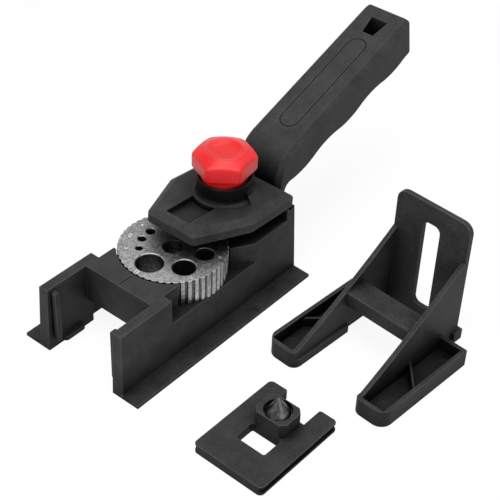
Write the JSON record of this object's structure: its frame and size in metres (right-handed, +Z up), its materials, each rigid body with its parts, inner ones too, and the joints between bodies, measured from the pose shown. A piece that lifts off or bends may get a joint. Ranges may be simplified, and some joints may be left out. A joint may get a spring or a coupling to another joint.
{
  "type": "self centering doweling jig",
  "caption": "Bench jig with a turning disc of drill guides under a screw-down hinged jaw, a rear grip handle, a loose slotted edge stop and a loose centring plate.",
  "frame": {"origin": "under the middle of the whole set's bounding box, on the surface that it stands on", "axes": "+X from the jig's open end towards its handle, +Y across the jig away from the loose pieces, +Z up"},
  "size_m": [0.2104, 0.1486, 0.0846],
  "materials": {
    "black_plastic": "fine matte grain",
    "red_plastic": "semi-gloss",
    "disc_steel": "rough turned, fluted rim",
    "plated_steel": "zinc plated",
    "blackened_steel": "blackened"
  },
  "bodies": {
    "jig": {"jig_body": "black_plastic", "handle": "black_plastic", "handle_screws": "plated_steel", "captive_nut": "plated_steel", "disc_pivot": "plated_steel", "detent_ball": "plated_steel", "detent_spring": "plated_steel", "edge_fence": "black_plastic", "centring_plate": "black_plastic", "centre_point": "blackened_steel"},
    "turret": {"drill_disc": "disc_steel"},
    "jaw": {"clamp_jaw": "black_plastic"},
    "screw_travel": {"thrust_washer": "plated_steel"},
    "knob": {"clamp_knob": "red_plastic", "knob_cap": "red_plastic", "clamp_bolt": "plated_steel"}
  },
  "joints": [
    {"name": "disc_turn", "type": "hinge", "parent": "jig", "child": "turret", "pos_m": [-0.04706, 0.04186, 0.02], "axis": [0, 0, 1], "continuous": true},
    {"name": "screw_feed", "type": "slide", "parent": "jig", "child": "screw_travel", "axis": [0, 0, -1], "range_m": [0, 0.00125]},
    {"name": "knob_turn", "type": "hinge", "parent": "screw_travel", "child": "knob", "pos_m": [-0.01466, 0.04186, 0.05614], "axis": [0, 0, -1], "range_deg": [0, 360]},
    {"name": "jaw_close", "type": "hinge", "parent": "jig", "child": "jaw", "pos_m": [0.00384, 0.04186, 0.0363], "axis": [0, -1, 0], "range_deg": [0, 2]}
  ],
  "couplings": [
    {"joint": "knob_turn", "follows": "screw_feed", "rad_per_m": 5026.5},
    {"joint": "jaw_close", "follows": "screw_feed", "rad_per_m": 27.925}
  ]
}
